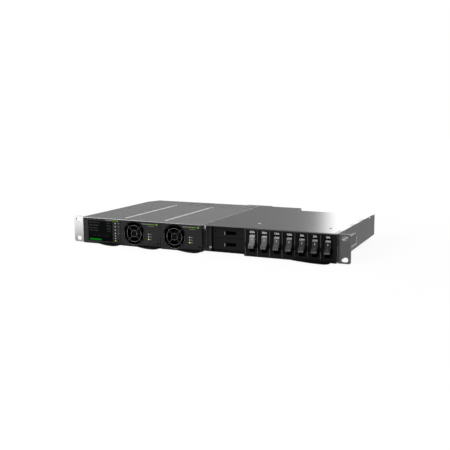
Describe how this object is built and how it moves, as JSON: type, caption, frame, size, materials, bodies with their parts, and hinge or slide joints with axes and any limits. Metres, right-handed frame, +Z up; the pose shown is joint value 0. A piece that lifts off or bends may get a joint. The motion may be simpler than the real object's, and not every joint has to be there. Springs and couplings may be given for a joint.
{
  "type": "dc power system",
  "caption": "Rack-mount DC power shelf with a display controller, fan-cooled slide-in rectifier modules, battery breakers and a panel of rocker load breakers.",
  "frame": {"origin": "middle of the four rack slots, on the front face of the rack ears", "axes": "+X to the right seen from the front, +Y to the rear, +Z up"},
  "size_m": [0.4826, 0.2657, 0.0442],
  "materials": {
    "shell_steel": "zinc-plated sheet, satin",
    "side_steel": "zinc-plated sheet, satin",
    "cover_steel": "zinc-plated sheet, satin, reflective at a low angle",
    "ear_steel": "zinc-plated sheet, satin",
    "divider_steel": "bright plated sheet",
    "case_steel": "plated sheet",
    "module_black": "fine-textured moulded face",
    "black_moulding": "moulded",
    "gloss_black": "polished moulding",
    "panel_black": "moulded panel",
    "breaker_black": "moulded breaker body",
    "toggle_black": "moulded toggle",
    "rocker_grey": "satin rocker",
    "fan_black": "moulded fan",
    "terminal_black": "moulded barrier strip",
    "terminal_green": "moulded terminal strip",
    "display_glass": "glossy window over a dark display",
    "rating_label": "dark label with pale print",
    "circuit_board": "lacquered board",
    "copper_bar": "bare copper",
    "guard_wire": "plated wire",
    "screw_steel": "plated screws"
  },
  "bodies": {
    "chassis": {"chassis_tray": "shell_steel", "right_side_plate": "side_steel", "left_ear": "ear_steel", "right_ear": "ear_steel", "module_cover": "cover_steel", "distribution_cover": "cover_steel", "bay_divider_1": "divider_steel", "bay_divider_2": "divider_steel", "bay_divider_3": "divider_steel", "backplane_board": "circuit_board", "backplane_socket_1": "black_moulding", "backplane_socket_2": "black_moulding", "backplane_socket_3": "black_moulding", "load_busbar": "copper_bar", "return_busbar": "copper_bar", "alarm_terminal_block": "terminal_green", "ac_inlet_1": "black_moulding", "ac_inlet_2": "black_moulding", "output_terminal_block": "terminal_black", "breaker_bezel": "panel_black", "panel_pull": "gloss_black", "rating_labels": "rating_label", "fastening_screws": "screw_steel", "battery_breaker_1": "breaker_black", "battery_breaker_2": "breaker_black", "load_breaker_1": "breaker_black", "load_breaker_2": "breaker_black", "load_breaker_3": "breaker_black", "load_breaker_4": "breaker_black", "load_breaker_5": "breaker_black", "load_breaker_6": "breaker_black", "load_breaker_7": "breaker_black"},
    "controller": {"controller_face": "module_black", "controller_case": "case_steel", "controller_board": "circuit_board", "display_window": "display_glass"},
    "controller_lever": {"controller_lever": "gloss_black"},
    "rectifier_1": {"rectifier_1_face": "module_black", "rectifier_1_case": "case_steel", "rectifier_1_board": "circuit_board", "rectifier_1_fan_guard": "guard_wire", "rectifier_1_fan_frame": "fan_black"},
    "rectifier_1_lever": {"rectifier_1_lever": "gloss_black"},
    "rectifier_1_fan": {"rectifier_1_fan_rotor": "fan_black"},
    "rectifier_2": {"rectifier_2_face": "module_black", "rectifier_2_case": "case_steel", "rectifier_2_board": "circuit_board", "rectifier_2_fan_guard": "guard_wire", "rectifier_2_fan_frame": "fan_black"},
    "rectifier_2_lever": {"rectifier_2_lever": "gloss_black"},
    "rectifier_2_fan": {"rectifier_2_fan_rotor": "fan_black"},
    "rocker_1": {"rocker_1": "rocker_grey"},
    "rocker_2": {"rocker_2": "rocker_grey"},
    "rocker_3": {"rocker_3": "rocker_grey"},
    "rocker_4": {"rocker_4": "rocker_grey"},
    "rocker_5": {"rocker_5": "rocker_grey"},
    "rocker_6": {"rocker_6": "rocker_grey"},
    "rocker_7": {"rocker_7": "rocker_grey"},
    "battery_toggle_1": {"battery_toggle_1": "toggle_black"},
    "battery_toggle_2": {"battery_toggle_2": "toggle_black"}
  },
  "joints": [
    {"name": "controller_slide", "type": "slide", "parent": "chassis", "child": "controller", "axis": [0, -1, 0], "range_m": [0, 0.18]},
    {"name": "controller_lever_turn", "type": "hinge", "parent": "controller", "child": "controller_lever", "pos_m": [-0.1827, -0.0017, -0.0207], "axis": [1, 0, 0], "range_deg": [0, 30]},
    {"name": "rectifier_1_slide", "type": "slide", "parent": "chassis", "child": "rectifier_1", "axis": [0, -1, 0], "range_m": [0, 0.18]},
    {"name": "rectifier_1_lever_turn", "type": "hinge", "parent": "rectifier_1", "child": "rectifier_1_lever", "pos_m": [-0.1079, -0.0017, -0.0207], "axis": [1, 0, 0], "range_deg": [0, 30]},
    {"name": "rectifier_1_fan_spin", "type": "hinge", "parent": "rectifier_1", "child": "rectifier_1_fan", "pos_m": [-0.1195, 0.007, -0.0002], "axis": [0, 1, 0], "continuous": true},
    {"name": "rectifier_2_slide", "type": "slide", "parent": "chassis", "child": "rectifier_2", "axis": [0, -1, 0], "range_m": [0, 0.18]},
    {"name": "rectifier_2_lever_turn", "type": "hinge", "parent": "rectifier_2", "child": "rectifier_2_lever", "pos_m": [-0.0331, -0.0017, -0.0207], "axis": [1, 0, 0], "range_deg": [0, 30]},
    {"name": "rectifier_2_fan_spin", "type": "hinge", "parent": "rectifier_2", "child": "rectifier_2_fan", "pos_m": [-0.0447, 0.007, -0.0002], "axis": [0, 1, 0], "continuous": true},
    {"name": "rocker_1_turn", "type": "hinge", "parent": "chassis", "child": "rocker_1", "pos_m": [0.08991, -0.0018, 0], "axis": [1, 0, 0], "range_deg": [0, 40]},
    {"name": "rocker_2_turn", "type": "hinge", "parent": "chassis", "child": "rocker_2", "pos_m": [0.10974, -0.0018, 0], "axis": [1, 0, 0], "range_deg": [0, 40]},
    {"name": "rocker_3_turn", "type": "hinge", "parent": "chassis", "child": "rocker_3", "pos_m": [0.12957, -0.0018, 0], "axis": [1, 0, 0], "range_deg": [0, 40]},
    {"name": "rocker_4_turn", "type": "hinge", "parent": "chassis", "child": "rocker_4", "pos_m": [0.14941, -0.0018, 0], "axis": [1, 0, 0], "range_deg": [0, 40]},
    {"name": "rocker_5_turn", "type": "hinge", "parent": "chassis", "child": "rocker_5", "pos_m": [0.16923, -0.0018, 0], "axis": [1, 0, 0], "range_deg": [0, 40]},
    {"name": "rocker_6_turn", "type": "hinge", "parent": "chassis", "child": "rocker_6", "pos_m": [0.18907, -0.0018, 0], "axis": [1, 0, 0], "range_deg": [0, 40]},
    {"name": "rocker_7_turn", "type": "hinge", "parent": "chassis", "child": "rocker_7", "pos_m": [0.20889, -0.0018, 0], "axis": [1, 0, 0], "range_deg": [0, 40]},
    {"name": "battery_toggle_1_turn", "type": "hinge", "parent": "chassis", "child": "battery_toggle_1", "pos_m": [0.046, 0.02, 0.00945], "axis": [0, 0, 1], "range_deg": [0, 56]},
    {"name": "battery_toggle_2_turn", "type": "hinge", "parent": "chassis", "child": "battery_toggle_2", "pos_m": [0.046, 0.02, -0.00905], "axis": [0, 0, 1], "range_deg": [0, 56]}
  ]
}
